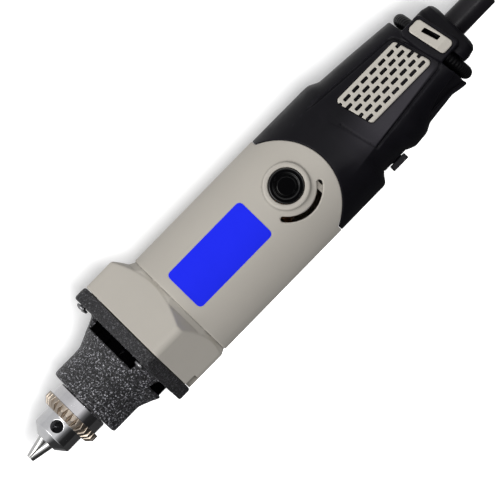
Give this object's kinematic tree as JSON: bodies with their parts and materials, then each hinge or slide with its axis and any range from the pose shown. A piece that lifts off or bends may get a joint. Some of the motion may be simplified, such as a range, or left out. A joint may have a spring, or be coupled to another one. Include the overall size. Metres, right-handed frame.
{
  "type": "rotary hobby tool",
  "caption": "Corded rotary hobby tool with keyed three-jaw chuck, vented cast nose, barrel motor housing, slide switch and speed dial ring in a two-shell rear handle.",
  "frame": {"origin": "centre of the whole tool's bounding box, cord stub and dial bezel included; the spindle axis runs parallel to X 3.2265 mm towards -Y of it, and the joint between the nose flange and the motor housing is at X -94.25 mm", "axes": "+X along the spindle from the chuck to the cord, +Z towards the side with the label and the upper brush cap, +Y across, so that the slide switch is on the -Y flank"},
  "size_m": [0.3356, 0.0666, 0.0732],
  "materials": {
    "grey_plastic": "warm light grey moulded plastic, satin",
    "label_blue": "plain blue film label, satin, no lettering",
    "crackle_paint": "black wrinkle paint on cast aluminium",
    "screw_steel": "blackened and bright steel screws",
    "black_plastic": "black moulded plastic, fine grain",
    "pale_plastic": "pale grey moulded plastic",
    "gloss_black": "glossy black phenolic cap",
    "switch_black": "black plastic slider",
    "dial_black": "black knurled plastic ring",
    "circuit_board": "green board",
    "cord_rubber": "black flexible cord and boot, semi-gloss",
    "white_nylon": "natural nylon",
    "capacitor_film": "yellow film capacitor case",
    "bare_aluminium": "bare aluminium",
    "lamination_steel": "varnished steel laminations",
    "copper": "enamelled copper wire and copper bars",
    "brass": "brass sheet",
    "carbon": "carbon",
    "spring_steel": "plain spring steel",
    "bearing_steel": "ground bearing steel",
    "bush_rubber": "black rubber bush",
    "chrome": "bright chrome plate",
    "sleeve_steel": "warm toned plated steel with toothed ring",
    "jaw_steel": "ground hardened steel"
  },
  "bodies": {
    "casing": {"motor_housing": "grey_plastic", "name_label": "label_blue", "nose_casting": "crackle_paint", "flange_screw_1": "screw_steel", "flange_screw_2": "screw_steel", "flange_screw_3": "screw_steel", "handle_shell_top": "black_plastic", "handle_shell_bottom": "black_plastic", "grille_top": "pale_plastic", "grille_bottom": "black_plastic", "dial_bezel": "pale_plastic", "brush_cap_top": "gloss_black", "brush_cap_bottom": "gloss_black", "switch_bezel": "black_plastic", "dial_track_ring": "circuit_board", "cord_boot": "cord_rubber", "power_cord": "cord_rubber", "cord_clamp": "white_nylon", "clamp_screw_1": "screw_steel", "clamp_screw_2": "screw_steel", "handle_screw_1": "screw_steel", "handle_screw_2": "screw_steel", "handle_screw_3": "screw_steel", "handle_screw_4": "screw_steel", "switch_body": "black_plastic", "control_board": "circuit_board", "board_capacitor": "capacitor_film", "triac_heatsink": "bare_aluminium", "stator_core": "lamination_steel", "field_coil_top": "copper", "field_coil_bottom": "copper", "air_baffle": "black_plastic", "brush_holder_top": "brass", "brush_holder_bottom": "brass", "carbon_brush_top": "carbon", "carbon_brush_bottom": "carbon", "brush_spring_top": "spring_steel", "brush_spring_bottom": "spring_steel", "front_bearing_outer": "bearing_steel", "front_bearing_circlip": "spring_steel", "rear_bearing_outer": "bearing_steel", "rear_bearing_bush": "bush_rubber"},
    "rotor": {"spindle": "bearing_steel", "front_bearing_inner": "bearing_steel", "rear_bearing_inner": "bearing_steel", "armature_core": "lamination_steel", "armature_winding": "copper", "commutator": "copper", "cooling_fan": "black_plastic", "chuck_body": "chrome"},
    "chuck_collar": {"chuck_sleeve": "sleeve_steel", "chuck_nut": "spring_steel"},
    "jaw_1": {"chuck_jaw_1": "jaw_steel"},
    "jaw_2": {"chuck_jaw_2": "jaw_steel"},
    "jaw_3": {"chuck_jaw_3": "jaw_steel"},
    "dial": {"speed_dial": "dial_black"},
    "switch": {"switch_slider": "switch_black"}
  },
  "joints": [
    {"name": "spindle_spin", "type": "hinge", "parent": "casing", "child": "rotor", "pos_m": [-0.09425, -0.00323, 0], "axis": [1, 0, 0], "continuous": true},
    {"name": "chuck_sleeve_turn", "type": "hinge", "parent": "rotor", "child": "chuck_collar", "pos_m": [-0.13925, -0.00323, 0], "axis": [1, 0, 0], "range_deg": [0, 2928]},
    {"name": "jaw_1_slide", "type": "slide", "parent": "rotor", "child": "jaw_1", "axis": [0.9703, -0.1906, 0.1489], "range_m": [0, 0.0122]},
    {"name": "jaw_2_slide", "type": "slide", "parent": "rotor", "child": "jaw_2", "axis": [0.9703, -0.0337, -0.2396], "range_m": [0, 0.0122]},
    {"name": "jaw_3_slide", "type": "slide", "parent": "rotor", "child": "jaw_3", "axis": [0.9703, 0.2243, 0.0906], "range_m": [0, 0.0122]},
    {"name": "speed_dial_turn", "type": "hinge", "parent": "casing", "child": "dial", "pos_m": [0.0944, -0.00323, 0], "axis": [0.9943, 0.1063, 0], "range_deg": [-140, 140]},
    {"name": "switch_slide", "type": "slide", "parent": "casing", "child": "switch", "axis": [-1, 0, 0], "range_m": [0, 0.003]}
  ],
  "couplings": [
    {"joint": "jaw_1_slide", "follows": "chuck_sleeve_turn", "m_per_rad": 0.00023872},
    {"joint": "jaw_2_slide", "follows": "chuck_sleeve_turn", "m_per_rad": 0.00023872},
    {"joint": "jaw_3_slide", "follows": "chuck_sleeve_turn", "m_per_rad": 0.00023872}
  ]
}
